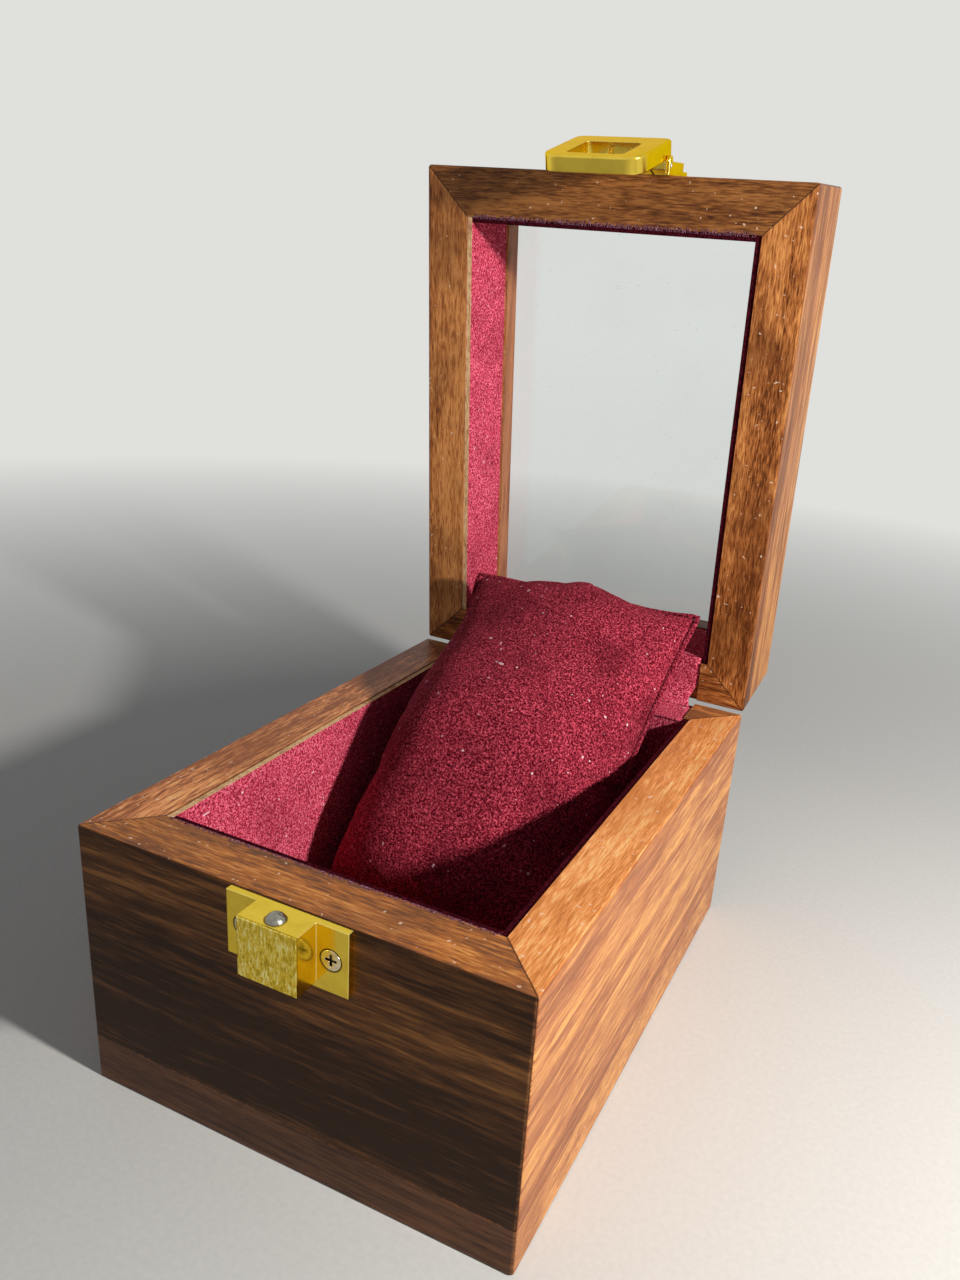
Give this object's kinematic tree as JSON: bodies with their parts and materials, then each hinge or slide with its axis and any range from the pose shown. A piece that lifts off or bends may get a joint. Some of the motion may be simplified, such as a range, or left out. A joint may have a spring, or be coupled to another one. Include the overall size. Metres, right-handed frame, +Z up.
{
  "type": "pocket watch display box",
  "caption": "Hinged wooden box with a glazed lid, a cloth lining, a loose pillow that a pocket watch lies on, and a sprung loop catch.",
  "frame": {"origin": "middle of the underside of the base", "axes": "+Z up, the front with the catch faces -Y, +X to the right seen from the front; the lid stands open"},
  "size_m": [0.086, 0.1436, 0.174],
  "materials": {
    "base_wood": "satin lacquer over dark brown wood",
    "lid_wood": "satin lacquer over dark brown wood",
    "bottom_wood": "thin lacquer",
    "liner_cloth": "short velvet on board",
    "pillow_cloth": "short velvet over soft filling",
    "lid_glass": "clear flat sheet",
    "hinge_brass": "satin",
    "catch_brass": "polished, lightly worn",
    "screw_brass": "polished, lightly worn",
    "ball_steel": "polished",
    "spring_steel": "drawn wire"
  },
  "bodies": {
    "base": {"base_front_wall": "base_wood", "base_right_wall": "base_wood", "base_rear_wall": "base_wood", "base_left_wall": "base_wood", "base_bottom_board": "bottom_wood", "base_front_liner": "liner_cloth", "base_right_liner": "liner_cloth", "base_rear_liner": "liner_cloth", "base_left_liner": "liner_cloth", "base_floor_liner": "liner_cloth", "base_hinge_cloth": "liner_cloth", "base_hinge_leaves": "hinge_brass", "hinge_pins": "hinge_brass", "base_hinge_screws": "hinge_brass", "catch_body": "catch_brass", "catch_plug": "catch_brass", "catch_screws": "screw_brass", "catch_spring": "spring_steel"},
    "lid": {"lid_front_wall": "lid_wood", "lid_right_wall": "lid_wood", "lid_rear_wall": "lid_wood", "lid_left_wall": "lid_wood", "lid_glass": "lid_glass", "lid_front_liner": "liner_cloth", "lid_right_liner": "liner_cloth", "lid_rear_liner": "liner_cloth", "lid_left_liner": "liner_cloth", "lid_hinge_cloth": "liner_cloth", "lid_hinge_leaves": "hinge_brass", "lid_hinge_screws": "hinge_brass", "latch_mount": "catch_brass", "latch_mount_screws": "screw_brass"},
    "latch_pins": {"latch_pins": "screw_brass"},
    "latch_loop": {"latch_loop": "catch_brass"},
    "catch_ball": {"catch_ball": "ball_steel"},
    "pillow": {"pillow": "pillow_cloth"}
  },
  "joints": [
    {"name": "lid_hinge", "type": "hinge", "parent": "base", "child": "lid", "pos_m": [0, 0.057, 0.05355], "axis": [1, 0, 0], "range_deg": [-4.5, 85.5]},
    {"name": "latch_pin_turn", "type": "hinge", "parent": "lid", "child": "latch_pins", "pos_m": [0.0013, 0.04908, 0.16888], "axis": [-1, 0, 0], "range_deg": [-0.8, 13.5]},
    {"name": "latch_swing", "type": "hinge", "parent": "latch_pins", "child": "latch_loop", "pos_m": [0.0013, 0.04908, 0.16888], "axis": [-1, 0, 0], "range_deg": [0, 24]},
    {"name": "catch_ball_press", "type": "slide", "parent": "base", "child": "catch_ball", "axis": [0, 0, 1], "range_m": [-0.0009, 0], "stiffness_N_per_m": 900, "springref_m": 0.0006, "deforming": ["catch_spring"]},
    {"name": "pillow_settle", "type": "hinge", "parent": "base", "child": "pillow", "pos_m": [0, 0, 0.11], "axis": [-1, 0, 0], "range_deg": [-0.8, 13.1]}
  ],
  "couplings": [
    {"joint": "latch_pin_turn", "follows": "lid_hinge", "ratio": 0.15673},
    {"joint": "pillow_settle", "follows": "lid_hinge", "ratio": 0.15205}
  ]
}
